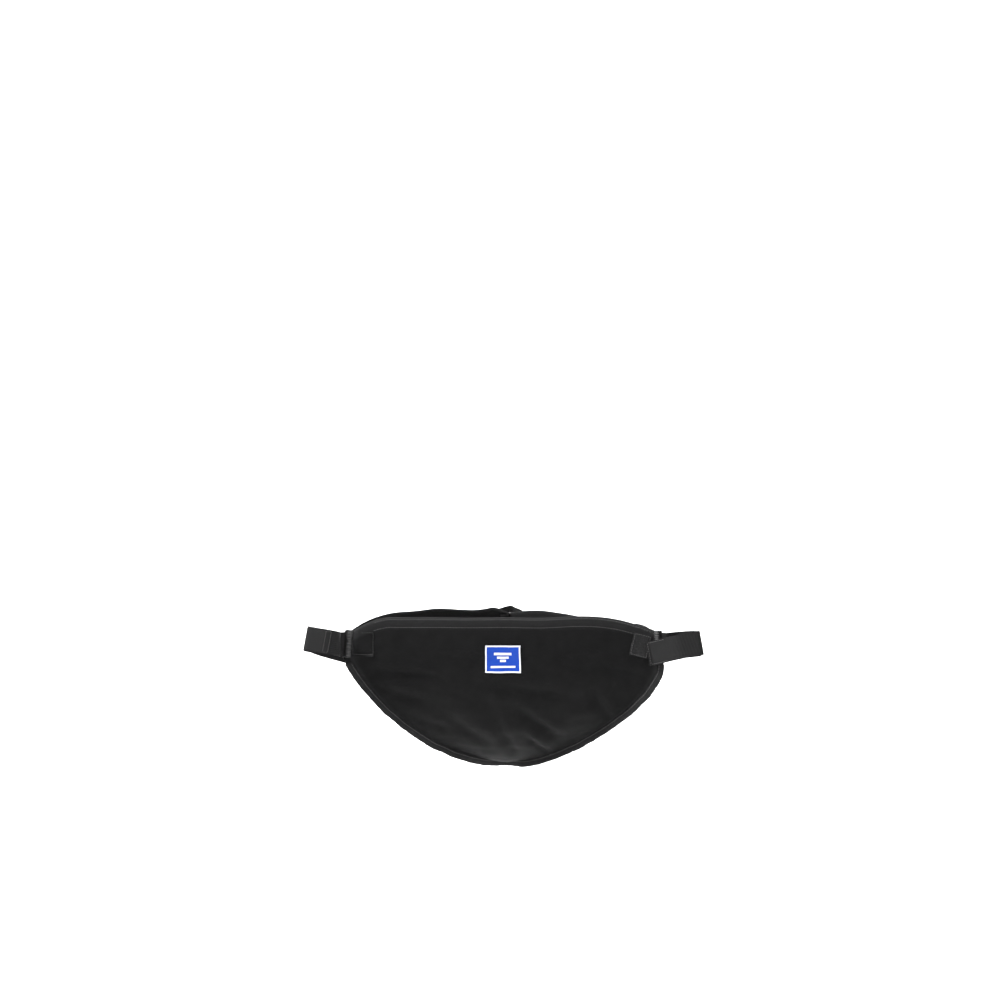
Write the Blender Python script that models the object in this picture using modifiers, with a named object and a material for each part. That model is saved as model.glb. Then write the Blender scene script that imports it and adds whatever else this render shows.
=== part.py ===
"""An open weight bag that hangs between the three legs of a tripod.

Three equal cloth panels are sewn together along three bound seams, which run
from the corners down to the middle of the bottom. At each corner a strap goes
round a leg, folds back, and its flap grips a loop patch on the next panel.
Metres, +Z up. Z is the tripod's axis, and z = 0 is the middle of the straps.
"""

import math

import bmesh
import bpy
import numpy as np
from mathutils import Matrix, Vector

# The tripod that the bag is made for
LEG_DISTANCE = 0.211  # from the axis to a leg's centre line, at z = 0
LEG_TILT = math.radians(23.4)  # from vertical; the legs spread downwards
LEG_RADIUS = 0.0125

# The bag's outline, which is the outer edge of its seams
CORNER_RADIUS = 0.190
CORNER_TOP = 0.015
CORNER_LEAN = 0.1  # how fast a corner's edge goes in as it goes up
SHOULDER = -0.015  # where the seams start to curve in
DEPTH = 0.121  # from the shoulder to the bottom
ROUND_ACROSS = 1.8
ROUND_DOWN = 1.3

# The rim, as heights above the corners' top
RIM_RISE = 0.0142
RIM_STRAP_END = 0.25  # share of the half width over which it rises, at the strap
RIM_PATCH_END = 0.65  # and at the patch
RIM_FADE = -0.045  # the height at which the rows are level again

# Cloth, tape and webbing
CLOTH = 0.0008
TAPE = 0.0006
WEBBING = 0.0016
GAP = 0.0003
CLOTH_GAP = 0.0008  # between two pieces that follow a panel's curve
FLANGE = 0.008  # the seam allowance with its binding, which stands outside
ALLOWANCE = 0.0065
ROOT = 0.0025  # from the stitches to the binding's edges
HEM_WIDTH = 0.0095
BULGE = 0.007

# Straps, patches and label
STRAP_WIDTH = 0.025
STRAP_EXIT = Vector((0.192, 0.0, 0.001))  # radial distance and height of the swing axis
STRAP_ZONE = -0.012  # the foot of the corner where the strap leaves between the panels
BINDING_TOP = -0.018  # where the seam's own binding starts
HINGE_GAP = 0.0008  # clear of the corner's axis on each side, so that the ends can turn
FOLD_GAP = 0.0015  # the same at the fold, which turns further
TAIL_LENGTH = 0.024
LOOP_RADIUS = LEG_RADIUS + 0.0015
FOLD_RADIUS = 0.0045
FOLD_CENTRE = 0.017  # from the leg's centre line to the fold's
FOLD_DROP = -0.0017  # along the leg, from the level of z = 0
FLAP_END = (0.148, -0.0088)  # across the next panel, and its height
FLAP_GRIP = 0.004
PATCH_SIZE = (0.019, 0.024)
PATCH_CENTRE = (0.1407, 0.0002)
PATCH_TURN = math.radians(-13.8)
PATCH = 0.001
LABEL_SIZE = (0.036, 0.028)
LABEL_CENTRE = (-0.001, -0.014)
LABEL = 0.0005

PANELS = ("front", "rear_right", "rear_left")
CORNERS = ("left", "right", "rear")  # each panel's strap is at this corner
THIRD = 2 * math.pi / 3

UP = Vector((0, 0, 1))
OUT = Vector((-math.cos(math.pi / 6), -0.5, 0))  # from the axis to the front panel's strap
SIDE = Vector((0.5, -math.cos(math.pi / 6), 0))  # across it, towards that panel
LEG = UP * math.cos(LEG_TILT) - OUT * math.sin(LEG_TILT)
CLEAR = OUT * math.cos(LEG_TILT) + UP * math.sin(LEG_TILT)  # outwards, square to the leg


def smooth(low, high, value):
    """0 below low, 1 above high, and a smooth step between them."""
    share = min(1.0, max(0.0, (value - low) / (high - low)))
    return share * share * (3 - 2 * share)


# The seam line in its radial plane


def seam_outline(count=400):
    """Radius and height of a seam's outer edge, from the rim to the bottom."""
    height = np.linspace(CORNER_TOP, SHOULDER, count // 4, endpoint=False)
    straight = CORNER_RADIUS - CORNER_LEAN * (height - SHOULDER)
    turn = np.linspace(0, math.pi / 2, count)
    curved = CORNER_RADIUS * np.cos(turn).clip(0) ** (2 / ROUND_ACROSS)
    lower = SHOULDER - DEPTH * np.sin(turn) ** (2 / ROUND_DOWN)
    return np.concatenate([straight, curved]), np.concatenate([height, lower])


def stitch_line(end_radius=0.004):
    """The line of stitches, FLANGE inside the outer edge: share of its length,
    radius, height, and the direction of the flange."""
    radius, height = seam_outline()
    along = np.gradient(radius), np.gradient(height)
    size = np.hypot(*along)
    out, up = -along[1] / size, along[0] / size
    radius, height = radius - FLANGE * out, height - FLANGE * up
    kept = radius >= end_radius
    radius, height, out, up = (a[kept] for a in (radius, height, out, up))
    length = np.concatenate([[0], np.cumsum(np.hypot(np.diff(radius), np.diff(height)))])
    return length / length[-1], radius, height, out, up


SEAM = stitch_line()


def seam_at(share):
    """Radius, height and flange direction (outwards, upwards) at a share of the seam."""
    return [float(np.interp(share, SEAM[0], column)) for column in SEAM[1:]]


def share_at(height):
    return float(np.interp(-height, -SEAM[2], SEAM[0]))


CORNER_SHARES = np.linspace(0, share_at(STRAP_ZONE), 4)
SEAM_SHARES = np.linspace(share_at(BINDING_TOP), 1, 14)


def spread(height):
    """Half the distance between two panels' cloth at a seam, wider where a strap leaves."""
    sewn = CLOTH / 2 + GAP
    parted = WEBBING / 2 + TAPE + 2 * GAP + CLOTH / 2 + GAP
    share = (height - BINDING_TOP) / (STRAP_ZONE - BINDING_TOP)
    return sewn + (parted - sewn) * min(1.0, max(0.0, share))


# The front panel, which the other two repeat


def rim_rise(across):
    """How far the rim stands above the corners, from -1 at the strap to 1 at the patch."""
    strap_end = max(0.0, (RIM_STRAP_END - 1 - across) / RIM_STRAP_END)
    patch_end = max(0.0, (across - 1 + RIM_PATCH_END) / RIM_PATCH_END)
    return RIM_RISE * (1 - strap_end**1.6 - patch_end**2.6)


def panel_point(across, share):
    """A point of the front panel's middle surface; across runs from -1 to 1."""
    radius, height, _, _ = seam_at(share)
    part = spread(height)
    half = radius * math.cos(math.pi / 6) - part / 2
    point = Vector((across * half, -radius / 2 - part * math.cos(math.pi / 6), height))
    point.z += rim_rise(across) * smooth(RIM_FADE, CORNER_TOP, height)
    ahead, behind = seam_at(min(1, share + 0.01)), seam_at(max(0, share - 0.01))
    slope = Vector((0, -(ahead[0] - behind[0]) / 2, ahead[1] - behind[1]))
    outward = Vector((0, slope.z, -slope.y)).normalized()
    swell = BULGE * (1 - across**2) * math.sin(math.pi * share) ** 0.8
    return point + outward * swell


def on_panel(x, height, lift):
    """A point over the front panel at x and a height, lifted outwards, and its normal."""
    low, high = 0.0, 0.7
    for _ in range(40):
        share = (low + high) / 2
        half = panel_point(1, share).x
        if panel_point(x / half, share).z > height:
            low = share
        else:
            high = share
    across, step = x / half, 0.004
    point = panel_point(across, share)
    sideways = panel_point(across + step, share) - panel_point(across - step, share)
    down = panel_point(across, share + step) - panel_point(across, max(0, share - step))
    normal = down.cross(sideways).normalized()
    return point + normal * lift, normal


def flange_point(share, reach, sideways):
    """A point of the flange at the front panel's strap end."""
    radius, height, out, up = seam_at(share)
    return OUT * (radius + reach * out) + UP * (height + reach * up) + SIDE * sideways


def mirrored(point):
    return Vector((-point.x, point.y, point.z))


# Building


def collection(name):
    found = bpy.data.collections.new(name)
    bpy.context.scene.collection.children.link(found)
    return found


def material(name, colour, roughness, metallic=0.0):
    made = bpy.data.materials.new(name)
    made.use_nodes = True
    shader = made.node_tree.nodes["Principled BSDF"]
    shader.inputs["Base Color"].default_value = (*colour, 1)
    shader.inputs["Roughness"].default_value = roughness
    shader.inputs["Metallic"].default_value = metallic
    return made


def sheet_mesh(name, rows, finish):
    """An open sheet through rows of points: a flat grid, moved onto them."""
    bm = bmesh.new()
    bmesh.ops.create_grid(bm, x_segments=len(rows[0]) - 1, y_segments=len(rows) - 1, size=1)
    bm.verts.ensure_lookup_table()
    for vert, point in zip(bm.verts, (point for row in rows for point in row)):
        vert.co = point
    mesh = bpy.data.meshes.new(name)
    bm.to_mesh(mesh)
    bm.free()
    mesh.materials.append(finish)
    return mesh


def place(name, mesh, thickness, parent):
    """One piece: a copy of a sheet with its thickness, under its frame."""
    piece = bpy.data.objects.new(name, mesh)
    parts.objects.link(piece)
    piece.parent = parent
    shell = piece.modifiers.new("thickness", "SOLIDIFY")
    shell.thickness = thickness
    shell.offset = 0
    shell.use_even_offset = True
    return piece


def frame_empty(name, location=(0, 0, 0), turn=0.0, parent=None):
    empty = bpy.data.objects.new(name, None)
    parts.objects.link(empty)
    empty.location = location
    empty.rotation_euler.z = turn
    empty.parent = parent
    return empty


def relative(rows, origin):
    return [[point - origin for point in row] for row in rows]


# The sewn pieces, as rows of points


def panel_rows(columns=18):
    """A panel with its allowances turned out along both seams."""
    grid = []
    for share in (*CORNER_SHARES, *SEAM_SHARES):
        part = spread(seam_at(share)[1])
        edge = flange_point(share, ALLOWANCE, part)
        middle = [panel_point(across, share) for across in np.linspace(-1, 1, columns)]
        grid.append([edge, *middle, mirrored(edge)])
    return grid


def hem_rows(columns=16):
    """The turned-in hem behind the rim, between the strap's tail and the far corner."""
    lift = -(CLOTH + CLOTH_GAP)
    grid = []
    for below in (0.0006, HEM_WIDTH / 2, HEM_WIDTH):
        row = []
        for across in np.linspace(-0.8, 0.97, columns):
            rim = panel_point(across, 0)
            row.append(on_panel(rim.x, rim.z - below, lift)[0])
        grid.append(row)
    return grid


def binding_rows(shares, middle, reach):
    """A tape folded over cloth that stands at middle, to both sides by reach."""
    tip = ALLOWANCE + GAP + TAPE / 2
    section = [(ROOT, -1), (tip, -1), (tip, 1), (ROOT, 1)]
    return [
        [flange_point(share, out, middle(share) + side * reach) for out, side in section]
        for share in shares
    ]


def patch_rows(size, centre, turn, lift, columns=5, rows=5):
    """A flat square of cloth that follows the panel."""
    grid = []
    for up in np.linspace(0.5, -0.5, rows):
        row = []
        for along in np.linspace(-0.5, 0.5, columns):
            x, height = along * size[0], up * size[1]
            row.append(
                on_panel(
                    centre[0] + x * math.cos(turn) - height * math.sin(turn),
                    centre[1] + x * math.sin(turn) + height * math.cos(turn),
                    lift,
                )[0]
            )
        grid.append(row)
    return grid


# The straps, as stations (centre, direction of the width)


def ribbon_rows(stations, width=STRAP_WIDTH):
    """Three points across a strap at each station."""
    return [
        [at - across * width / 2, at, at + across * width / 2] for at, across in stations
    ]


def by_leg(out, sideways, along):
    """A point from its distances square to the left leg and along it."""
    return OUT * LEG_DISTANCE + CLEAR * out + SIDE * sideways + LEG * along


def drop_along(out):
    """How far along the leg the strap's middle has dropped, at a distance out."""
    start = STRAP_EXIT.x - LEG_DISTANCE
    inner = start * math.cos(LEG_TILT) + STRAP_EXIT.z * math.sin(LEG_TILT)
    level = STRAP_EXIT.z * math.cos(LEG_TILT) - start * math.sin(LEG_TILT)
    outer = FOLD_CENTRE + FOLD_RADIUS
    return level + (FOLD_DROP - level) * (out - inner) / (outer - inner)


def around(centre, radius, start, end, count):
    """Points of an arc about the leg, as distances out and sideways."""
    turns = np.linspace(math.radians(start), math.radians(end), count)
    return [(centre + radius * math.cos(t), radius * math.sin(t)) for t in turns]


def lean(share):
    """The width's direction, from upright at the corner to the leg's own."""
    return UP.lerp(LEG, share).normalized()


TANGENT = math.degrees(math.acos((LOOP_RADIUS - FOLD_RADIUS) / FOLD_CENTRE))
HINGE_TURN = math.degrees(FOLD_GAP / FOLD_RADIUS)


def tail_stations():
    """The sewn end: behind the panel, then out between the two panels' allowances."""
    lift = -(CLOTH / 2 + 3 * CLOTH_GAP + WEBBING / 2)
    edge = panel_point(-1, share_at(0)).x
    found = []
    for inboard in (TAIL_LENGTH, TAIL_LENGTH / 2, 0.003):
        point, normal = on_panel(edge + inboard, STRAP_EXIT.z, lift)
        found.append((point, (UP - normal * UP.dot(normal)).normalized()))
    for radius in (STRAP_EXIT.x - 0.0092, STRAP_EXIT.x - HINGE_GAP):
        found.append((OUT * radius + UP * STRAP_EXIT.z, UP))
    return found


def arm_stations():
    """From the corner's axis round one side of the leg to the hook tape's join."""
    start = OUT * (STRAP_EXIT.x + HINGE_GAP) + UP * STRAP_EXIT.z
    found = [(start, UP)]
    arc = around(0, LOOP_RADIUS, 146, TANGENT, 8)
    for index, (out, sideways) in enumerate(arc):
        found.append((by_leg(out, sideways, drop_along(out)), lean((index + 1) / len(arc))))
    return found


def fold_stations():
    """The hook tape from the join to the fold's axis."""
    join = around(0, LOOP_RADIUS, TANGENT - 1.5, TANGENT - 1.5, 1)
    arc = join + around(FOLD_CENTRE, FOLD_RADIUS, TANGENT, HINGE_TURN, 4)
    return [(by_leg(out, sideways, drop_along(out)), LEG) for out, sideways in arc]


def flap_stations():
    """From the fold's axis past the leg's other side and onto the next panel's patch."""
    lift = CLOTH / 2 + 2 * CLOTH_GAP + PATCH + WEBBING / 2
    back = Matrix.Rotation(-THIRD, 3, "Z")
    arc = around(FOLD_CENTRE, FOLD_RADIUS, -HINGE_TURN, -TANGENT, 4)
    arc += around(0, LOOP_RADIUS, -TANGENT, -104, 4)
    found = [(by_leg(out, sideways, drop_along(out)), LEG) for out, sideways in arc]
    x, height = FLAP_END
    for inward in (FLAP_GRIP, FLAP_GRIP / 2, 0):
        point, normal = on_panel(x + inward, height + 0.2 * inward, lift)
        point, normal = back @ point, back @ normal
        across = (LEG - normal * LEG.dot(normal)).normalized()
        found.append((point, across))
    return found


for old in list(bpy.data.objects):
    bpy.data.objects.remove(old)
parts = collection("tripod_weight_bag")

oxford = material("oxford_cloth", (0.018, 0.018, 0.019), 0.72)
binding = material("binding_tape", (0.030, 0.030, 0.031), 0.78)
webbing = material("strap_webbing", (0.022, 0.022, 0.023), 0.7)
hook = material("hook_tape", (0.028, 0.028, 0.029), 0.8)
pile = material("loop_pile", (0.020, 0.020, 0.021), 0.9)
print_blue = material("label_cloth", (0.02, 0.16, 0.62), 0.5)

swing_axis = OUT * STRAP_EXIT.x + UP * STRAP_EXIT.z
fold_out = FOLD_CENTRE + FOLD_RADIUS
peel_axis = by_leg(fold_out, 0, FOLD_DROP)
tape_off = CLOTH / 2 + GAP + TAPE / 2

sewn = {
    "panel": (panel_rows(), oxford, CLOTH),
    "hem": (hem_rows(), oxford, CLOTH),
    "seam_binding": (
        binding_rows(SEAM_SHARES, lambda share: 0, spread(-1) + tape_off), binding, TAPE
    ),
    "patch": (
        patch_rows(PATCH_SIZE, PATCH_CENTRE, PATCH_TURN, CLOTH / 2 + CLOTH_GAP + PATCH / 2),
        pile,
        PATCH,
    ),
    "strap_tail": (ribbon_rows(tail_stations()), webbing, WEBBING),
}
for name, side in (("end_binding_strap", 1), ("end_binding_patch", -1)):
    rows = binding_rows(
        CORNER_SHARES, lambda share, side=side: side * spread(seam_at(share)[1]), tape_off
    )
    sewn[name] = rows, binding, TAPE

meshes = {name: sheet_mesh(name, rows, finish) for name, (rows, finish, _) in sewn.items()}
swinging = {
    "strap": (arm_stations(), webbing),
    "hook_fold": (fold_stations(), hook),
}
for name, (stations, finish) in swinging.items():
    meshes[name] = sheet_mesh(name, relative(ribbon_rows(stations), swing_axis), finish)
meshes["flap"] = sheet_mesh("flap", relative(ribbon_rows(flap_stations()), peel_axis), hook)

for index, (panel, corner) in enumerate(zip(PANELS, CORNERS)):
    frame = frame_empty(f"{panel}_frame", turn=index * THIRD)
    for name, (_, _, thickness) in sewn.items():
        label = panel if name in ("panel", "hem", "patch") else corner
        place(f"{name}_{label}", meshes[name], thickness, frame)
    swing = frame_empty(f"swing_{corner}", swing_axis, parent=frame)
    for name in swinging:
        place(f"{name}_{corner}", meshes[name], WEBBING, swing)
    peel = frame_empty(f"peel_{corner}", peel_axis - swing_axis, parent=swing)
    place(f"flap_{corner}", meshes["flap"], WEBBING, peel)

label_rows = patch_rows(LABEL_SIZE, LABEL_CENTRE, 0, CLOTH / 2 + CLOTH_GAP + LABEL / 2)
place("label", sheet_mesh("label", label_rows, print_blue), LABEL, None)
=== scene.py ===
import math
import random

import bmesh
import bpy
import numpy as np
from mathutils import Matrix, Vector, noise


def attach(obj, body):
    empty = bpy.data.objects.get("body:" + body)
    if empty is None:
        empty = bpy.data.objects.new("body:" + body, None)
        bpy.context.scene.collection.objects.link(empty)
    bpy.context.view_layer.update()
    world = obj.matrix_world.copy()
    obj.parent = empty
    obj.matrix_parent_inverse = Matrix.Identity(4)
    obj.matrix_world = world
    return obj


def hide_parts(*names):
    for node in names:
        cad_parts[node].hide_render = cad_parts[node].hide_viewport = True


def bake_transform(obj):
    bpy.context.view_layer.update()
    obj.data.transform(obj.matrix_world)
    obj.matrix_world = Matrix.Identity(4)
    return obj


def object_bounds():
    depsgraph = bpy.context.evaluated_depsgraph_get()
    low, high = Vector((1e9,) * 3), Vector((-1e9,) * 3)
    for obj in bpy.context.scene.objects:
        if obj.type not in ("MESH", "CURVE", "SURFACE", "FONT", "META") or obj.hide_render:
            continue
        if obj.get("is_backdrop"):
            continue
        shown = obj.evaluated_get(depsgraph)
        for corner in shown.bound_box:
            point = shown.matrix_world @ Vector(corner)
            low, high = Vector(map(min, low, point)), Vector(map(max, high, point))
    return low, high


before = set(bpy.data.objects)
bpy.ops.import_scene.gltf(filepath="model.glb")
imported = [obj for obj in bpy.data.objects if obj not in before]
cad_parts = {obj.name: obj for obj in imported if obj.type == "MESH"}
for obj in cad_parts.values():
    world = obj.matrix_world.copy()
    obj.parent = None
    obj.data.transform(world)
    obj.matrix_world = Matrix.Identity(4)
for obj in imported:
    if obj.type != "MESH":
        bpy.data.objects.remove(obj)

CAD_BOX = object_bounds()
MM = 0.001
TURN = 2 * math.pi

# The tripod's legs, and the bag's outline at its seams, as the frame has them
LEG_DISTANCE, LEG_TILT, LEG_RADIUS = 0.211, math.radians(23.4), 0.0125
CORNER_RADIUS, CORNER_TOP, CORNER_LEAN = 0.190, 0.015, 0.1
SHOULDER, DEPTH = -0.015, 0.121
ROUND_ACROSS, ROUND_DOWN = 1.8, 1.3
FLANGE = 8 * MM
RIM_RISE, RIM_FADE = 14.2 * MM, -45 * MM
STRAP_ZONE, BINDING_TOP = -12 * MM, -18 * MM
SEWN_APART, STRAP_APART = 0.42 * MM, 2.4 * MM
BULGE = 7 * MM
SEAM_END = 0.4 * MM
RIM_PLACES = np.linspace(-1, 1, 81)

# Cloth and trimmings
CLOTH, TAPE, WEBBING, HOOK_TAPE = 0.7 * MM, 0.5 * MM, 1.4 * MM, 1.3 * MM
HEM = 10.4 * MM
TURNED, BEHIND = 0.75 * MM, -1.5 * MM
HEM_ROWS = (1.7 * MM, 9.6 * MM)
STITCH = 3.0 * MM
THREAD = 0.32 * MM
ALLOWANCE = 6.4 * MM
STRAP_WIDTH, RIB_PITCH, HOOK_PITCH = 25 * MM, 1.9 * MM, 1.5 * MM
LOOP_RADIUS = LEG_RADIUS + 1.5 * MM
FOLD_RADIUS, FOLD_CENTRE, FOLD_DROP = 4.5 * MM, 17 * MM, -1.7 * MM
STRAP_EXIT_RADIUS, STRAP_EXIT_HEIGHT = 0.192, 1 * MM
FLAP_END = (0.148, -8.8 * MM)
FLAP_SAG = 3.5 * MM
JOIN_ROWS = (1.6 * MM, 6.4 * MM)
PATCH_SIZE, PATCH_CENTRE, PATCH_TURN = (19 * MM, 24 * MM), (0.1407, 0.2 * MM), math.radians(-13.8)
ANCHOR_LOW, ANCHOR_HIGH = (-0.1545, -9.5 * MM), (-0.1335, 12.5 * MM)
LABEL_SIZE, LABEL_CENTRE, LABEL_SHEAR = (36 * MM, 28 * MM), (-1 * MM, -14 * MM), 0.07
LABEL_BORDER = 1.7 * MM
BARS = ((5.6 * MM, 9 * MM), (2 * MM, 6 * MM), (-1.6 * MM, 3 * MM), (-8 * MM, 12.5 * MM))

# In mm: how far each seam hangs out and low, and each strap's fold above its plain place
CORNERS = ("left", "right", "rear")
SLACK = {"left": -2.0, "right": 8.5, "rear": 3.0}
LOW = {"left": 1.0, "right": 2.2, "rear": 1.2}
FOLD_LIFT = {"left": 2.0, "right": -2.4, "rear": 0.6}

UP = Vector((0, 0, 1))
OUT = Vector((-math.cos(math.pi / 6), -0.5, 0))
SIDE = Vector((0.5, -math.cos(math.pi / 6), 0))
LEG = UP * math.cos(LEG_TILT) - OUT * math.sin(LEG_TILT)
CLEAR = OUT * math.cos(LEG_TILT) + UP * math.sin(LEG_TILT)
LOOP_LEAN = (UP + LEG).normalized()


def smooth(low, high, value):
    """From 0 at low to 1 at high, eased at both ends."""
    share = min(1.0, max(0.0, (value - low) / (high - low)))
    return share * share * (3 - 2 * share)


# Shaders


class Signal:
    """A socket whose value changes over a surface; its operators add Math nodes."""

    def __init__(self, finish, socket):
        self.finish, self.socket = finish, socket

    def math(self, operation, *values):
        inputs = dict(enumerate((self, *values)))
        return self.finish.node("ShaderNodeMath", {"operation": operation}, inputs)

    def __add__(self, other):
        return self.math("ADD", other)

    __radd__ = __add__

    def __mul__(self, other):
        return self.math("MULTIPLY", other)

    __rmul__ = __mul__

    def __sub__(self, other):
        return self.math("SUBTRACT", other)

    def __rsub__(self, other):
        return (self * -1) + other

    def wave(self, pitch):
        """From 0 to 1 and back once in every pitch."""
        return (self * (TURN / pitch)).math("SINE") * 0.5 + 0.5


class Finish:
    """A material with one Principled shader; every other node comes from node()."""

    def __init__(self, name, roughness=0.7, sheen=0.0, specular=0.4):
        self.material = bpy.data.materials.new(name)
        self.material.use_nodes = True
        self.tree = self.material.node_tree
        self.shader = self.tree.nodes["Principled BSDF"]
        constants = {
            "Roughness": roughness,
            "Sheen Weight": sheen,
            "Sheen Roughness": 0.45,
            "Specular IOR Level": specular,
        }
        for socket, value in constants.items():
            self.shader.inputs[socket].default_value = value

    def node(self, kind, settings=None, inputs=None, output=0):
        made = self.tree.nodes.new(kind)
        for key, value in (settings or {}).items():
            setattr(made, key, value)
        for key, value in (inputs or {}).items():
            if isinstance(value, Signal):
                self.tree.links.new(value.socket, made.inputs[key])
            else:
                made.inputs[key].default_value = value
        return Signal(self, made.outputs[output])

    def feed(self, socket, value):
        self.tree.links.new(value.socket, self.shader.inputs[socket])

    def flat_place(self):
        """Metres along and across the flat cloth, from the piece's own UV map."""
        place = self.node("ShaderNodeUVMap", {"uv_map": "flat"})
        parts = {"Vector": place}
        return (
            self.node("ShaderNodeSeparateXYZ", None, parts, "X"),
            self.node("ShaderNodeSeparateXYZ", None, parts, "Y"),
            place,
        )

    def noise(self, place, size, detail=2.0, roughness=0.5):
        inputs = {"Vector": place, "Scale": 1 / size, "Detail": detail, "Roughness": roughness}
        return self.node("ShaderNodeTexNoise", None, inputs, "Fac")

    def object_place(self):
        return self.node("ShaderNodeTexCoord", None, None, "Object")

    def attribute(self, name):
        return self.node("ShaderNodeAttribute", {"attribute_name": name}, None, "Fac")

    def mix(self, share, low, high):
        """A colour between two, by share."""
        inputs = {0: share, 6: low, 7: high}
        settings = {"data_type": "RGBA", "clamp_factor": True}
        return self.node("ShaderNodeMix", settings, inputs, 2)

    def bump(self, height, depth, strength=1.0):
        inputs = {"Height": height, "Distance": depth, "Strength": strength}
        self.feed("Normal", self.node("ShaderNodeBump", None, inputs))


def grey(level, tint=0.0):
    return (level, level, level * (1 + tint), 1)


def oxford_cloth():
    """Black coated oxford: pairs of threads over and under, mottled, with a painted pale-grey
    highlight on its edges.
    """
    cloth = Finish("oxford_cloth", 0.7, sheen=0.015, specular=0.08)
    x, y, place = cloth.flat_place()
    pitch = 1.3 * MM
    over = (x * (TURN / pitch / 2)).math("SINE") * (y * (TURN / pitch / 2)).math("SINE")
    warp_on_top = over.math("MULTIPLY_ADD", 3.0, 0.5).math("MINIMUM", 1.0).math("MAXIMUM", 0.0)
    weave = warp_on_top * x.wave(pitch / 2) + (1 - warp_on_top) * y.wave(pitch / 2)
    fibre = cloth.noise(place, 0.5 * MM, 3.0)
    mottle = cloth.noise(place, 14 * MM, 4.0, 0.6)
    painted_highlight = cloth.attribute("painted_highlight")
    light = weave * 0.6 + fibre * 0.4 + mottle * 0.6 - 0.35
    woven = cloth.mix(light, grey(0.001, 0.05), grey(0.0105, 0.04))
    # Painted highlight: pale grey mixed over the weave along the rim, hem and seams.
    highlighted = cloth.mix(painted_highlight * (fibre * 0.9 + 0.3), woven, grey(0.045, 0.02))
    cloth.feed("Base Color", highlighted)
    cloth.feed("Roughness", mottle * 0.25 + weave * 0.1 + 0.46)
    cloth.bump(weave * 0.8 + fibre * 0.4, 0.3 * MM, 0.8)
    return cloth.material


def binding_tape():
    """Grosgrain tape: fine ribs across it, fuzzier and greyer than the cloth."""
    tape = Finish("binding_tape", 0.8, sheen=0.05, specular=0.12)
    x, _, place = tape.flat_place()
    ribs = x.wave(0.8 * MM)
    fibre = tape.noise(place, 0.7 * MM, 3.0)
    patchy = tape.noise(place, 6 * MM, 3.0)
    light = ribs * 0.35 + fibre * 0.4 + patchy * 0.45 - 0.15
    tape.feed("Base Color", tape.mix(light, grey(0.005, 0.03), grey(0.027, 0.02)))
    tape.feed("Roughness", fibre * 0.15 + 0.7)
    tape.bump(ribs * 0.6 + fibre * 0.6, 0.22 * MM, 0.8)
    return tape.material


def strap_webbing():
    """Webbing: ribs along it with a short herringbone of threads across each."""
    webbing = Finish("strap_webbing", 0.66, sheen=0.03, specular=0.15)
    x, y, place = webbing.flat_place()
    rib = y.wave(RIB_PITCH)
    twill = (x + (y.math("PINGPONG", RIB_PITCH) * 1.4)).wave(0.9 * MM)
    fibre = webbing.noise(place, 0.6 * MM, 3.0)
    light = rib * 0.35 + twill * 0.35 + fibre * 0.4 - 0.1
    webbing.feed("Base Color", webbing.mix(light, grey(0.003, 0.04), grey(0.024, 0.03)))
    webbing.feed("Roughness", twill * 0.12 + 0.58)
    webbing.bump(twill * 0.7 + fibre * 0.5, 0.2 * MM, 0.8)
    return webbing.material


def hook_tape():
    """Hook tape seen from its back: slanting ribs with a stiff, dusty weave."""
    tape = Finish("hook_tape", 0.78, sheen=0.02, specular=0.12)
    x, y, place = tape.flat_place()
    rib = (x + y * 0.35).wave(HOOK_PITCH)
    cross = y.wave(1.0 * MM)
    fibre = tape.noise(place, 0.5 * MM, 3.0)
    light = rib * 0.4 + cross * 0.25 + fibre * 0.5 - 0.12
    tape.feed("Base Color", tape.mix(light, grey(0.003, 0.03), grey(0.028, 0.02)))
    tape.feed("Roughness", fibre * 0.2 + 0.66)
    tape.bump(cross * 0.5 + fibre * 0.8, 0.2 * MM, 0.8)
    return tape.material


def loop_pile():
    """Loop tape: a fuzz of little loops."""
    pile = Finish("loop_pile", 0.92, sheen=0.2, specular=0.1)
    place = pile.object_place()
    inputs = {"Vector": place, "Scale": 1 / (0.9 * MM)}
    loops = pile.node("ShaderNodeTexVoronoi", None, inputs, "Distance")
    fuzz = pile.noise(place, 1.6 * MM, 4.0, 0.7)
    light = loops * 0.8 + fuzz * 0.5 - 0.2
    pile.feed("Base Color", pile.mix(light, grey(0.005, 0.02), grey(0.028, 0.02)))
    pile.bump(loops + fuzz * 0.6, 0.3 * MM, 0.9)
    return pile.material


def sewing_thread(name, dark, light):
    """Twisted polyester thread."""
    thread = Finish(name, 0.5, sheen=0.2)
    strands = thread.noise(thread.object_place(), 0.4 * MM, 2.0)
    thread.feed("Base Color", thread.mix(strands, dark, light))
    thread.feed("Roughness", strands * 0.25 + 0.38)
    return thread.material


def woven_label(name, dark, light):
    """Damask label cloth: very fine satin ribs in one colour."""
    satin = Finish(name, 0.5, sheen=0.03, specular=0.25)
    _, y, place = satin.flat_place()
    ribs = y.wave(0.5 * MM)
    fibre = satin.noise(place, 0.6 * MM, 2.0)
    satin.feed("Base Color", satin.mix(ribs * 0.35 + fibre * 0.6, dark, light))
    satin.feed("Roughness", fibre * 0.2 + 0.42)
    satin.bump(ribs + fibre * 0.4, 0.08 * MM, 0.6)
    return satin.material


# The seams and the panels between them


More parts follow.
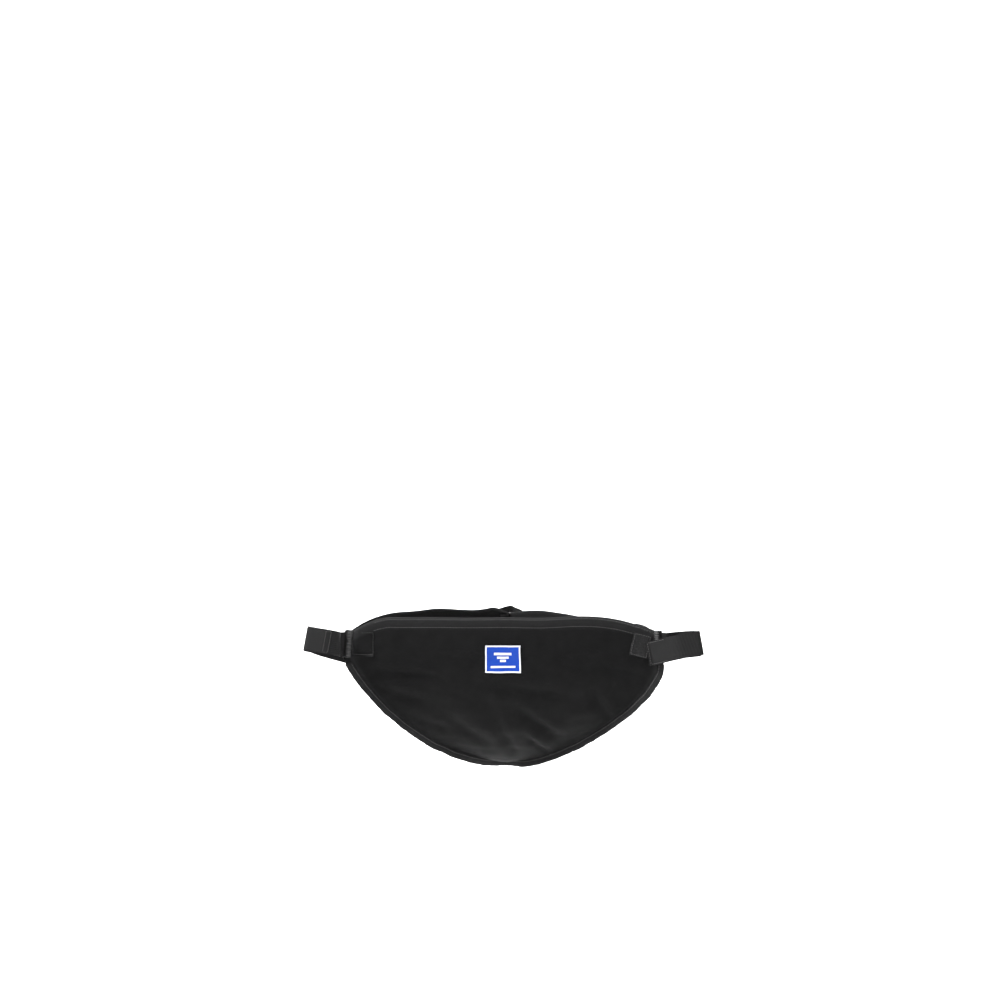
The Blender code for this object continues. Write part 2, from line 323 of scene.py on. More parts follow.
def stitch_line(count=400):
    """The seam's stitches: share of its length, radius, height, and the flange's direction."""
    upper = np.linspace(CORNER_TOP, SHOULDER, count // 4, endpoint=False)
    turn = np.linspace(0, math.pi / 2, count)
    curved = CORNER_RADIUS * np.cos(turn).clip(0) ** (2 / ROUND_ACROSS)
    lower = SHOULDER - DEPTH * np.sin(turn) ** (2 / ROUND_DOWN)
    radius = np.concatenate([CORNER_RADIUS - CORNER_LEAN * (upper - SHOULDER), curved])
    height = np.concatenate([upper, lower])
    along, rise = np.gradient(radius), np.gradient(height)
    size = np.hypot(along, rise)
    out, up = -rise / size, along / size
    radius, height = radius - FLANGE * out, height - FLANGE * up
    kept = radius >= SEAM_END
    radius, height, out, up = (a[kept] for a in (radius, height, out, up))
    length = np.concatenate([[0], np.cumsum(np.hypot(np.diff(radius), np.diff(height)))])
    return length, radius, height, out, up


SEAM = stitch_line()
SEAM_LENGTH = float(SEAM[0][-1])
SEAM_STEPS = 1500


def softened(column, width=45):
    """The column at even steps along the seam, with its corner rounded off."""
    even = np.interp(np.linspace(0, SEAM_LENGTH, SEAM_STEPS + 1), SEAM[0], column)
    before = 2 * even[0] - even[width:0:-1]
    after = 2 * even[-1] - even[-2 : -width - 2 : -1]
    window = np.hanning(2 * width + 1)
    return np.convolve(np.concatenate([before, even, after]), window / window.sum(), "valid")


SEAM_TABLE = np.stack([softened(column) for column in SEAM[1:]], 1).tolist()


def seam_at(share):
    """The seam's radius, height and outward direction at a share of its length."""
    at = min(1.0, max(0.0, share)) * SEAM_STEPS
    index = min(int(at), SEAM_STEPS - 1)
    part = at - index
    return [a + (b - a) * part for a, b in zip(SEAM_TABLE[index], SEAM_TABLE[index + 1])]


def share_at(height):
    return float(np.interp(-height, -SEAM[2], SEAM[0])) / SEAM_LENGTH


def apart(height):
    """Half the distance between two panels' cloth at a seam."""
    share = min(1.0, max(0.0, (height - BINDING_TOP) / (STRAP_ZONE - BINDING_TOP)))
    return SEWN_APART + (STRAP_APART - SEWN_APART) * share


def flange_sway(share, seed):
    """How far the standing seam leans sideways, which it does in slow waves."""
    slow = noise.noise(Vector((share * 7, seed * 5.3, 0.4)))
    quick = noise.noise(Vector((share * 34, seed * 3.1, 7.9)))
    return (2.4 * slow + 0.7 * quick) * MM * smooth(0.1, 0.25, share)


def bump(value, middle, width):
    """A bell that is 1 at the middle."""
    return math.exp(-(((value - middle) / width) ** 2))


def seam_slack(corner, share):
    """How far a seam hangs out from its plain line, and how far below it."""
    seed = CORNERS.index(corner)
    free = smooth(0.09, 0.2, share) * smooth(1.0, 0.93, share)
    waves = noise.noise(Vector((share * 5.5, seed * 7.7, 3.3))) * 1.2 * MM
    ripple = noise.noise(Vector((share * 19, seed * 2.9, 8.1))) * 0.45 * MM
    out = SLACK[corner] * MM * bump(share, 0.3, 0.3)
    below = LOW[corner] * MM * bump(share, 0.86, 0.13)
    return (out + waves + ripple) * free, (below + ripple) * free


class Fold:
    """A soft crease: a valley along a line, with a swell on its upper side."""

    def __init__(self, start, end, depth, width):
        self.start, self.end = Vector(start) * MM, Vector(end) * MM
        self.depth, self.width = depth * MM, width * MM

    def height(self, x, z):
        line = self.end - self.start
        offset = Vector((x, z)) - self.start
        along = offset.dot(line) / line.length_squared
        across = (line.x * offset.y - line.y * offset.x) / line.length
        if line.x < 0:
            across = -across
        ends = smooth(-0.25, 0.25, along) * smooth(1.25, 0.75, along)
        across += 0.2 * self.width * math.sin(along * 5)
        valley = bump(across, 0, self.width)
        swell = bump(across, 1.9 * self.width, 1.5 * self.width)
        return ends * self.depth * (0.7 * swell - valley)


class Panel:
    """One cloth panel, worked out in the front panel's place and turned into its own."""

    def __init__(self, name, corners, turn, seed, folds, rim):
        self.name, (self.strap_corner, self.patch_corner) = name, corners
        self.turn = Matrix.Rotation(turn, 3, "Z")
        self.seed, self.folds = seed, folds
        change = np.interp(RIM_PLACES, [at for at, _ in rim], [height for _, height in rim])
        inner = np.convolve(np.pad(change, 6, "edge"), np.ones(13) / 13, "valid")
        self.rim_change = np.where(abs(RIM_PLACES) > 0.9, change, inner) * MM

    def rim_rise(self, across):
        """How high the rim stands over its corners."""
        strap_end = max(0.0, (-0.75 - across) / 0.25)
        patch_end = max(0.0, (across - 0.35) / 0.65)
        rise = RIM_RISE * (1 - strap_end**1.6 - patch_end**2.6)
        change = float(np.interp(across, RIM_PLACES, self.rim_change))
        ripple = noise.noise(Vector((across * 3.2, self.seed, 2.5))) * 0.9 * MM
        return rise + change + ripple * (1 - across**4)

    def base(self, across, share):
        """A point of the panel's plain hanging shape, with its outward direction."""
        radius, height, _, _ = seam_at(share)
        part = apart(height)
        half = max(0.1 * MM, radius * math.cos(math.pi / 6) - part / 2)
        point = Vector((across * half, -radius / 2 - part * math.cos(math.pi / 6), height))
        point.z += self.rim_rise(across) * smooth(RIM_FADE, CORNER_TOP, height)
        ahead, behind = seam_at(min(1, share + 0.01)), seam_at(max(0, share - 0.01))
        outward = Vector((0, ahead[1] - behind[1], (ahead[0] - behind[0]) / 2)).normalized()
        swell = BULGE * (1 - across**2) * math.sin(math.pi * min(1, share)) ** 0.8
        point += outward * swell
        for end, corner in ((-1, self.strap_corner), (1, self.patch_corner)):
            slack, below = seam_slack(corner, share)
            near = ((1 + end * across) / 2) ** 2
            point += Vector((end * -OUT.x * slack, OUT.y * slack, -below)) * near
        return point, outward

    def relief(self, point, across, share):
        """What hanging and sewing do to the cloth: folds, ripples and puckers."""
        inner = smooth(1.0, 0.82, abs(across)) * smooth(0.0, 0.10, share) * smooth(1.0, 0.9, share)
        folds = sum(fold.height(point.x, point.z) for fold in self.folds)
        at = Vector((point.x * 14, point.z * 18, self.seed * 4.7))
        waves = noise.noise(at) * 2.6 * MM + noise.noise(at * 2.7) * 1.4 * MM
        crumple = noise.noise(at * 6.3) * 0.45 * MM + noise.noise(at * 15) * 0.12 * MM
        radius = seam_at(share)[0]
        from_seam = (1 - abs(across)) * radius
        along = share * SEAM_LENGTH
        wobble = noise.noise(Vector((along * 60, self.seed, math.copysign(3, across)))) * 2
        pucker = math.sin(along * TURN / (8.5 * MM) + wobble) * 0.42 * MM
        pucker *= math.exp(-from_seam / (7 * MM)) * smooth(0.0, 0.15, share)
        return (folds + waves) * inner + crumple * smooth(0.0, 0.08, share) + pucker

    def over_anchor(self, point):
        """The strap's sewn end pushes the cloth out a little."""
        x = smooth(ANCHOR_LOW[0] - 3 * MM, ANCHOR_LOW[0], point.x)
        x *= smooth(ANCHOR_HIGH[0] + 2.5 * MM, ANCHOR_HIGH[0] - 0.5 * MM, point.x)
        z = smooth(ANCHOR_LOW[1] - 3 * MM, ANCHOR_LOW[1], point.z)
        z *= smooth(ANCHOR_HIGH[1] + 3 * MM, ANCHOR_HIGH[1], point.z)
        return x * z * 0.5 * MM

    def point(self, across, share, lift=0.0):
        """A point of the hanging cloth, or lifted off it along the plain shape."""
        point, outward = self.base(across, share)
        height = self.relief(point, across, share) + self.over_anchor(point)
        return point + outward * (height + lift)

    def find(self, x, height):
        """The place (across, share) of the panel at x and a height."""
        low, high = 0.0, 0.7
        for _ in range(20):
            share = (low + high) / 2
            radius, seam_height, _, _ = seam_at(share)
            half = radius * math.cos(math.pi / 6) - apart(seam_height) / 2
            if self.base(x / half, share)[0].z > height:
                low = share
            else:
                high = share
        return x / half, share

    def below_rim(self, across, depth):
        """The share at a depth of cloth below the rim."""
        rim = self.base(across, 0)[0]
        return self.find(rim.x, rim.z - depth)[1]

    def over(self, across, share, lift):
        """A point just over the cloth, and the cloth's normal there."""
        step = 0.004
        low = max(0.0, share - step)
        sideways = self.point(across + step, share) - self.point(across - step, share)
        down = self.point(across, share + step) - self.point(across, low)
        normal = down.cross(sideways).normalized()
        return self.point(across, share) + normal * lift, normal

    def on(self, x, height, lift):
        """A point over the cloth at x and a height, and the normal there."""
        return self.over(*self.find(x, height), lift)

    def flange(self, share, reach, sideways, end=1):
        """A point of the seam's flange: end is 1 at the strap's corner, -1 at the patch's."""
        radius, height, out, up = seam_at(share)
        corner = self.strap_corner if end > 0 else self.patch_corner
        sway = flange_sway(share, CORNERS.index(corner)) * (reach / ALLOWANCE) ** 1.5
        slack, below = seam_slack(corner, share)
        radius, height = radius + slack + reach * out, height - below + reach * up
        point = OUT * radius + UP * height + SIDE * (sideways + sway * end)
        return point if end > 0 else Vector((-point.x, point.y, point.z))


# Mesh making


def gathered(finish, name):
    """An empty mesh object in the scene with its finish."""
    piece = bpy.data.objects.new(name, bpy.data.meshes.new(name))
    bpy.context.scene.collection.objects.link(piece)
    piece.data.materials.append(finish)
    return piece


def settle(piece):
    """Apply the piece's modifiers."""
    graph = bpy.context.evaluated_depsgraph_get()
    mesh = bpy.data.meshes.new_from_object(piece.evaluated_get(graph))
    old, piece.data = piece.data, mesh
    piece.modifiers.clear()
    bpy.data.meshes.remove(old)


def sheet(name, rows, flat, thickness, finish, relief=None, painted_highlight=None, keep=None):
    """Cloth through rows of points. flat gives each point's place on the flat cloth, which
    the weave follows; cells outside keep(x, y) are cut away; relief(x, y) raises both faces."""
    piece = gathered(finish, name)
    bm = bmesh.new()
    bmesh.ops.create_grid(bm, x_segments=len(rows[0]) - 1, y_segments=len(rows) - 1, size=1)
    x_layer = bm.verts.layers.float.new("flat_x")
    y_layer = bm.verts.layers.float.new("flat_y")
    # The share of painted highlight at each point, for the cloth's shader.
    highlight_layer = bm.verts.layers.float.new("painted_highlight")
    uv_layer = bm.loops.layers.uv.new("flat")
    places = [place for row in flat for place in row]
    highlight_shares = [w for row in painted_highlight for w in row] if painted_highlight else [0.0] * len(places)
    for vert, point, place, highlight_share in zip(bm.verts, (p for row in rows for p in row), places, highlight_shares):
        vert.co = point
        vert[x_layer], vert[y_layer] = place
        vert[highlight_layer] = highlight_share
    for face in bm.faces:
        for loop in face.loops:
            loop[uv_layer].uv = loop.vert[x_layer], loop.vert[y_layer]
    if keep:
        cut = []
        for face in bm.faces:
            corners = [Vector((vert[x_layer], vert[y_layer])) for vert in face.verts]
            if not keep(*(sum(corners, Vector((0, 0))) / 4)):
                cut.append(face)
        bmesh.ops.delete(bm, geom=cut, context="FACES")
    bm.to_mesh(piece.data)
    bm.free()
    shell = piece.modifiers.new("thickness", "SOLIDIFY")
    shell.thickness, shell.offset = thickness, 0
    settle(piece)
    if relief:
        raise_faces(piece.data, relief)
    piece.data.shade_smooth()
    piece.data.set_sharp_from_angle(angle=math.radians(60))
    return piece


def raise_faces(mesh, relief):
    x = [item.value for item in mesh.attributes["flat_x"].data]
    y = [item.value for item in mesh.attributes["flat_y"].data]
    normals = [vert.normal.copy() for vert in mesh.vertices]
    for vert, normal, x_at, y_at in zip(mesh.vertices, normals, x, y):
        vert.co += normal * relief(x_at, y_at)
    mesh.update()


def threads(name, seams, finish, width=THREAD):
    """Sewn threads: each seam entry is (start, end, normal), one thread lying on the cloth."""
    piece = gathered(finish, name)
    bm = bmesh.new()
    for start, end, normal in seams:
        along = (end - start).normalized()
        across = normal.cross(along).normalized()
        lift = along.cross(across)
        axes = Matrix((along, across, lift)).transposed().to_4x4()
        size = Matrix.Diagonal(((end - start).length / 2, width, width * 0.8, 1))
        place = Matrix.Translation((start + end) / 2) @ axes @ size
        bmesh.ops.create_uvsphere(bm, u_segments=6, v_segments=5, radius=1, matrix=place)
    bm.to_mesh(piece.data)
    bm.free()
    piece.data.shade_smooth()
    return piece


def length_of(points):
    """The length of a line up to each of its points."""
    steps = np.linalg.norm(np.diff(points, axis=0), axis=1)
    return np.concatenate([[0], np.cumsum(steps)])


def stitches(path, pitch=STITCH, share=0.74):
    """Threads along a path of (point, normal), one for each pitch."""
    points = np.array([point for point, _ in path])
    normals = np.array([normal for _, normal in path])
    length = length_of(points)
    count = max(1, round(length[-1] / pitch))
    found = []
    for index in range(count):
        ends = []
        for side in (-share / 2, share / 2):
            at = (index + 0.5 + side) * length[-1] / count
            ends.append(Vector([np.interp(at, length, points[:, k]) for k in range(3)]))
        middle = (index + 0.5) * length[-1] / count
        normal = Vector([np.interp(middle, length, normals[:, k]) for k in range(3)])
        found.append((ends[0], ends[1], normal.normalized()))
    return found


def turned(panel, seams):
    """Threads worked out in the front panel's place, turned into the panel's own."""
    return [tuple(panel.turn @ part for part in seam) for seam in seams]


def finished(piece, slot, body, *nodes):
    """The piece, with the body it rides on and the nodes it shows; slot is not used."""
    if body:
        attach(piece, body)
    if nodes:
        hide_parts(*nodes)
    return piece


# The sewn pieces


def hem_relief(depth, across, seed):
    """The turned hem is thicker, pinched along its two rows of stitches."""
    middle = sum(HEM_ROWS) / 2
    puff = max(0.0, 1 - ((depth - middle) / (HEM - middle)) ** 2) * 0.7 * MM
    wander = noise.noise(Vector((across * 9, seed * 3.1, 4.2))) * 5
    rope = math.sin(across * 118 + depth * 420 + wander) * 0.22 * MM
    rope *= bump(depth, middle, HEM * 0.6)
    ripple = noise.noise(Vector((across * 42, depth * 120, seed * 9.1))) * 0.4 * MM
    return puff + rope + ripple * smooth(HEM + 6 * MM, HEM - 2 * MM, depth)


def cloth_panel(panel, finish, columns=150, rows=78):
    """The panel in one sheet: from the hem's raw edge inside, over the rim, down to the point,
    with its allowances turned out along both seams."""
    even = np.linspace(-1, 1, columns)
    acrosses = 0.65 * even + 0.35 * np.sin(even * math.pi / 2)
    reaches = (ALLOWANCE, ALLOWANCE * 0.6, 1.2 * MM)
    levels = [("hem", HEM * part / SEAM_LENGTH) for part in (0.95, 0.6, 0.3, 0.1)]
    levels += [("fold", 0.0)] + [("outer", share) for share in np.linspace(0, 1, rows) ** 1.05]
    grid, flat, painted_highlight = [], [], []
    for kind, share in levels:
        depth = share * SEAM_LENGTH
        inner, along, rise = {
            "hem": (TURNED, -depth, 0),
            "fold": (TURNED / 2, -0.5 * MM, 0.45 * MM),
            "outer": (0, depth, 0),
        }[kind]
        part = apart(seam_at(share)[1]) - inner
        raised = UP * rise
        row, places, highlight_shares = [], [], []
        for reach in reaches:
            row.append(panel.flange(share, reach, part) + raised)
            places.append((-seam_at(share)[0] - reach, along))
            highlight_shares.append(0.0)
        for across in acrosses:
            if kind == "hem":
                point = panel.point(across, panel.below_rim(across, depth), BEHIND)
            elif kind == "fold":
                point = panel.point(across, 0, BEHIND / 2) + UP * 0.55 * MM
            else:
                rim_depth = depth * (1 + 0.23 * (1 - across**4))
                lift = hem_relief(rim_depth, across, panel.seed) if rim_depth < 3 * HEM else 0
                point = panel.point(across, share, lift)
            row.append(point)
            places.append((point.x, along))
            highlight_shares.append(highlight_of(kind, depth, across))
        for reach in reversed(reaches):
            row.append(panel.flange(share, reach, part, -1) + raised)
            places.append((seam_at(share)[0] + reach, along))
            highlight_shares.append(0.0)
        grid.append([panel.turn @ point for point in row])
        flat.append(places)
        painted_highlight.append(highlight_shares)
    return sheet(f"cloth_panel_{panel.name}", grid, flat, CLOTH, finish, painted_highlight=painted_highlight)


def highlight_of(kind, depth, across):
    """How much pale grey highlight is painted on the cloth: most along the rim, some on the hem and
    by the seams.
    """
    if kind != "outer":
        return 0.55 if kind == "fold" else 0.25
    rim = 0.55 * math.exp(-depth / (1.2 * MM))
    hem = 0.26 * smooth(HEM + 0.5 * MM, HEM - 1 * MM, depth)
    seam = 0.25 * smooth(0.955, 0.995, abs(across))
    return rim + hem + seam


def hem_stitches(panel, finish):
    """The two rows that hold the hem, from the strap's end box to the patch's corner."""
    seams = []
    for depth in HEM_ROWS:
        path = []
        for across in np.linspace(-0.86, 0.985, 90):
            share = panel.below_rim(across, depth)
            lift = CLOTH / 2 + hem_relief(depth, across, panel.seed) + 0.1 * MM
            path.append(panel.over(across, share, lift))
        seams += stitches(path)
    return threads(f"hem_stitches_{panel.name}", turned(panel, seams), finish)


def box_path(place, low, high, steps=9):
    """Once round a rectangle, through place(x, y)."""
    corners = [(low[0], low[1]), (high[0], low[1]), (high[0], high[1]), (low[0], high[1])]
    path = []
    for (x, y), (next_x, next_y) in zip(corners, corners[1:] + corners[:1]):
        for t in np.linspace(0, 1, steps, endpoint=False):
            path.append(place(x + (next_x - x) * t, y + (next_y - y) * t))
    return [*path, path[0]]


def anchor_stitches(panel, finish):
    """The box of stitches that holds the strap's end behind the panel."""
    def place(x, height):
        return panel.on(x, height, CLOTH / 2 + 0.3 * MM)

    seams = stitches(box_path(place, ANCHOR_LOW, ANCHOR_HIGH), 2.6 * MM)
    return threads(f"anchor_stitches_{panel.strap_corner}", turned(panel, seams), finish)


def patch_place(x, height):
    """From a patch's own square to the panel's x and height."""
    cos, sin = math.cos(PATCH_TURN), math.sin(PATCH_TURN)
    return PATCH_CENTRE[0] + x * cos - height * sin, PATCH_CENTRE[1] + x * sin + height * cos


def loop_patch(panel, finish):
    """The loop tape that a flap grips, furry and a little raised, with soft edges."""
    rows, flat = [], []
    for up in np.linspace(0.5, -0.5, 49):
        row, places = [], []
        for along in np.linspace(-0.5, 0.5, 39):
            x, height = along * PATCH_SIZE[0], up * PATCH_SIZE[1]
            edge = min(0.5 - abs(along), 0.5 - abs(up)) * PATCH_SIZE[0]
            fur = noise.noise(Vector((x * 900, height * 900, panel.seed))) * 0.28 * MM
            lift = 1.25 * MM + fur - 0.3 * MM * smooth(1.2 * MM, 0, edge)
            row.append(panel.turn @ panel.on(*patch_place(x, height), lift)[0])
            places.append((x, height))
        rows.append(row)
        flat.append(places)
    return sheet(f"loop_patch_{panel.name}", rows, flat, 0.9 * MM, finish)


def patch_stitches(panel, finish):
    """One row round the patch, just inside its edge."""
    inset = 1.4 * MM
    high = PATCH_SIZE[0] / 2 - inset, PATCH_SIZE[1] / 2 - inset

    def place(x, height):
        return panel.on(*patch_place(x, height), 1.85 * MM)

    seams = stitches(box_path(place, (-high[0], -high[1]), high), 2.4 * MM)
    return threads(f"patch_stitches_{panel.name}", turned(panel, seams), finish)


def folded_tape(name, panel, shares, middle, reach, finish, tip=7.2 * MM, past=()):
    """Tape folded over cloth that stands at middle(share), to both sides by reach, and running
    on past its last share."""
    section = [(0.4 * MM, -1), (2.6 * MM, -1.1), (5 * MM, -1.02), (tip - 0.5 * MM, -0.9)]
    section += [(tip, -0.45), (tip + 0.15 * MM, 0)]
    section += [(out, -side) for out, side in reversed(section[:-1])]
    rows, flat = [], []
    places_along = [(share, 0.0) for share in shares] + [(shares[-1], more) for more in past]
    for share, beyond in places_along:
        row, places = [], []
        for out, side in section:
            wander = noise.noise(Vector((share * 55, out * 300, side + panel.seed))) * 0.22 * MM
            edge = noise.noise(Vector((share * 90, panel.seed, 1.5))) * 0.35 * MM
            at = out + (edge if out < 1 * MM or out > 7 * MM else 0)
            point = panel.flange(share, at, middle(share) + side * reach + wander) - OUT * beyond
            row.append(panel.turn @ point)
            places.append((share * SEAM_LENGTH + beyond, out * math.copysign(1, side)))
        rows.append(row)
        flat.append(places)
    return sheet(name, rows, flat, TAPE, finish)


def seam_binding(panel, finish):
    shares = np.linspace(share_at(BINDING_TOP + 1 * MM), 1, 150)
    reach = SEWN_APART + CLOTH / 2 + TAPE / 2 + 0.1 * MM
    name = f"seam_tape_{panel.strap_corner}"
    past = (1.2 * MM, 2.4 * MM)
    return folded_tape(name, panel, shares, lambda share: 0, reach, finish, past=past)


def seam_stitches(panel, finish):
    """A row on each side of the tape, through everything."""
    seams = []
    side_reach = (SEWN_APART + CLOTH / 2 + TAPE) * 1.1 + 0.15 * MM
    for side in (-1, 1):
        path = [
            (panel.flange(share, 1.9 * MM, side * side_reach), SIDE * side)
            for share in np.linspace(share_at(BINDING_TOP - 1 * MM), 0.99, 120)
        ]
        seams += stitches(path, 2.8 * MM)
    return threads(f"seam_stitches_{panel.strap_corner}", turned(panel, seams), finish)


def end_tape(panel, side, finish):
    """The tape over one panel's own edge, where the strap leaves the corner."""
    shares = np.linspace(0, share_at(STRAP_ZONE + 0.5 * MM), 26)
    reach = (TURNED + CLOTH + TAPE) / 2 + 0.05 * MM
    kind = "strap" if side > 0 else "patch"

    def middle(share):
        return side * (apart(seam_at(share)[1]) - TURNED / 2)

    name = f"end_tape_{kind}_{panel.strap_corner}"
    return folded_tape(name, panel, shares, middle, reach, finish)


def overlock(panel, side, finish):
    """The thick zigzag of thread that closes a corner's edge, over the end tape."""
    reach = (TURNED + CLOTH) / 2 + TAPE + 0.3 * MM
    seams, height = [], CORNER_TOP + 0.5 * MM
    dice = random.Random(panel.seed * 2 + side)
    while height > STRAP_ZONE - 1 * MM:
        share = share_at(height)
        for outer in (-1, 1):
            stand = side * (apart(seam_at(share)[1]) - TURNED / 2 + outer * reach)
            slant = share_at(height - dice.uniform(0.3, 1.5) * MM)
            start = panel.flange(max(0, share), dice.uniform(0.2, 1.4) * MM, stand)
            end = panel.flange(max(0, slant), dice.uniform(6.4, 7.6) * MM, stand)
            seams.append((start, end, SIDE * side * outer))
        height -= dice.uniform(1.0, 1.35) * MM
    kind = "strap" if side > 0 else "patch"
    name = f"overlock_{kind}_{panel.strap_corner}"
    return threads(name, turned(panel, seams), finish, 0.48 * MM)


# The straps

# Where a strap leaves the leg's round for the fold's, in degrees
TANGENT = math.degrees(math.acos((LOOP_RADIUS - FOLD_RADIUS) / FOLD_CENTRE))


def by_leg(out, sideways, along):
    """A point from its distances square to the left leg and along it."""
    return OUT * LEG_DISTANCE + CLEAR * out + SIDE * sideways + LEG * along


def drop_along(out, corner):
    """How far along the leg the strap's middle is, at a distance out."""
    start = STRAP_EXIT_RADIUS - LEG_DISTANCE
    inner = start * math.cos(LEG_TILT) + STRAP_EXIT_HEIGHT * math.sin(LEG_TILT)
    level = STRAP_EXIT_HEIGHT * math.cos(LEG_TILT) - start * math.sin(LEG_TILT)
    outer = FOLD_CENTRE + FOLD_RADIUS
    low = FOLD_DROP + FOLD_LIFT[corner] * MM
    return level + (low - level) * (out - inner) / (outer - inner)


def around(centre, radius, start, end, count):
    """Places on an arc, square to the leg."""
    turns = np.linspace(math.radians(start), math.radians(end), count)
    return [(centre + radius * math.cos(t), radius * math.sin(t)) for t in turns]


def stationed(places, corner, sag=0.0):
    """Stations round the leg, sinking by sag from the first to the last."""
    drops = np.linspace(0, sag, len(places))
    return [
        (by_leg(out, sideways, drop_along(out, corner) - drop), LOOP_LEAN)
        for (out, sideways), drop in zip(places, drops)
    ]


def webbing_stations(panel):
    """From the sewn end behind the panel, out at the corner, and past the leg's first side."""
    found = []
    behind = -(CLOTH / 2 + WEBBING / 2 + 1.2 * MM)
    for inboard in (21 * MM, 15 * MM, 9 * MM, 4 * MM):
        point, normal = panel.on(ANCHOR_LOW[0] + inboard, STRAP_EXIT_HEIGHT, behind)
        found.append((point, (UP - normal * UP.dot(normal)).normalized()))
    for radius in (STRAP_EXIT_RADIUS - 9 * MM, STRAP_EXIT_RADIUS, STRAP_EXIT_RADIUS + 1 * MM):
        found.append((OUT * radius + UP * STRAP_EXIT_HEIGHT, UP))
    arc = around(0, LOOP_RADIUS, 146, TANGENT - 14, 14)
    for index, (out, sideways) in enumerate(arc):
        lean = UP.lerp(LOOP_LEAN, (index + 1) / len(arc)).normalized()
        found.append((by_leg(out, sideways, drop_along(out, panel.strap_corner)), lean))
    return found


def flap_stations(panel, next_panel, back):
    """From over the webbing's end, round the fold and the leg's other side, to the patch."""
    outer = LOOP_RADIUS + (WEBBING + HOOK_TAPE) / 2
    places = around(0, outer, TANGENT + 30, TANGENT + 4, 6)
    places += around(FOLD_CENTRE, FOLD_RADIUS, TANGENT - 8, 0, 7)
    other_side = around(FOLD_CENTRE, FOLD_RADIUS, -12, -TANGENT, 6)
    other_side += around(0, LOOP_RADIUS, -TANGENT, -104, 8)
    found = stationed(places, panel.strap_corner)
    found += stationed(other_side, panel.strap_corner, FLAP_SAG)
    x, height = FLAP_END
    for inward in (4 * MM, 2 * MM, 0):
        point, normal = next_panel.on(x + inward, height + 0.2 * inward, 2.9 * MM)
        point, normal = back @ point, back @ normal
        found.append((point, (LOOP_LEAN - normal * LOOP_LEAN.dot(normal)).normalized()))
    return found


def resampled(stations, step, passes):
    """Even stations along a smoothed line, and the length up to each."""
    points = np.array([list(point) + list(width) for point, width in stations])
    length = length_of(points[:, :3])
    count = max(8, int(length[-1] / step))
    even = np.linspace(0, length[-1], count)
    points = np.stack([np.interp(even, length, points[:, k]) for k in range(6)], 1)
    for _ in range(passes):
        points[1:-1] = (points[:-2] + 2 * points[1:-1] + points[2:]) / 4
    line = [(Vector(p[:3]), Vector(p[3:]).normalized()) for p in points]
    return line, length_of(points[:, :3])


def ribbon(name, panel, line, length, columns, thickness, finish, relief, seed):
    """A strap along its line, with slightly wandering edges."""
    rows, flat = [], []
    for (point, width), at in zip(line, length):
        row, places = [], []
        for across in np.linspace(-1, 1, columns):
            wander = 1 + noise.noise(Vector((at * 60, across * 0.5, seed))) * 0.012
            row.append(panel.turn @ (point + width * (across * STRAP_WIDTH / 2 * wander)))
            places.append((float(at), across * STRAP_WIDTH / 2))
        rows.append(row)
        flat.append(places)
    return sheet(name, rows, flat, thickness, finish, relief)


def webbing_relief(x, y):
    """Ribs along the webbing, and thinner woven edges."""
    edge = smooth(STRAP_WIDTH / 2 - 1.1 * MM, STRAP_WIDTH / 2, abs(y))
    return 0.16 * MM * abs(math.sin(y * math.pi / RIB_PITCH)) - 0.3 * MM * edge


def hook_relief(x, y):
    """Slanting ribs, and thinner edges."""
    edge = smooth(STRAP_WIDTH / 2 - 0.9 * MM, STRAP_WIDTH / 2, abs(y))
    rib = abs(math.sin((x + 0.35 * y) * math.pi / HOOK_PITCH))
    return 0.13 * MM * rib - 0.3 * MM * edge


def strap(panel, finish):
    """The webbing, in one piece from its sewn end to the hook tape's join."""
    line, length = resampled(webbing_stations(panel), 0.7 * MM, 6)
    name = f"webbing_{panel.strap_corner}"
    return ribbon(name, panel, line, length, 79, WEBBING, finish, webbing_relief, panel.seed)


def faced(line, index):
    """The direction out of a ribbon's outside at one of its stations."""
    along = (line[min(index + 1, len(line) - 1)][0] - line[index - 1][0]).normalized()
    return line[index][1].cross(along).normalized()


def across_line(line, length, at, lift, reach=0.86):
    """A path over a ribbon's outside, from edge to edge at a length."""
    index = int(np.searchsorted(length, at))
    (point, width), normal = line[index], faced(line, index)
    half = STRAP_WIDTH / 2 * reach
    return [(point + width * (half * t) + normal * lift, normal) for t in np.linspace(-1, 1, 9)]


def edge_line(line, length, start, end, side, lift):
    """A path along one edge of a ribbon, on its outside."""
    path = []
    for index in range(1, len(line) - 1):
        if start <= length[index] <= end:
            (point, width), normal = line[index], faced(line, index)
            path.append((point + width * (side * STRAP_WIDTH * 0.44) + normal * lift, normal))
    return path


def flap_pieces(panel, next_panel, finish, thread):
    """The hook tape that goes round the fold, and its sewing at both ends."""
    back = Matrix.Rotation(-TURN / 3, 3, "Z")
    corner = panel.strap_corner
    line, length = resampled(flap_stations(panel, next_panel, back), 0.45 * MM, 8)
    name, seed = f"hook_tape_{corner}", panel.seed + 5
    tape = ribbon(name, panel, line, length, 33, HOOK_TAPE, finish, hook_relief, seed)
    lift, last = HOOK_TAPE / 2 + 0.2 * MM, length[-1] - 1.8 * MM
    join = []
    for at in JOIN_ROWS:
        join += stitches(across_line(line, length, at, lift), 2.3 * MM)
    tip = stitches(across_line(line, length, last, lift), 2.3 * MM)
    for side in (-1, 1):
        join += stitches(edge_line(line, length, *JOIN_ROWS, side, lift), 2.3 * MM)
        tip += stitches(edge_line(line, length, length[-1] - 24 * MM, last, side, lift), 2.5 * MM)
    return (
        tape,
        threads(f"join_stitches_{corner}", turned(panel, join), thread),
        threads(f"flap_stitches_{corner}", turned(panel, tip), thread),
    )


# The label


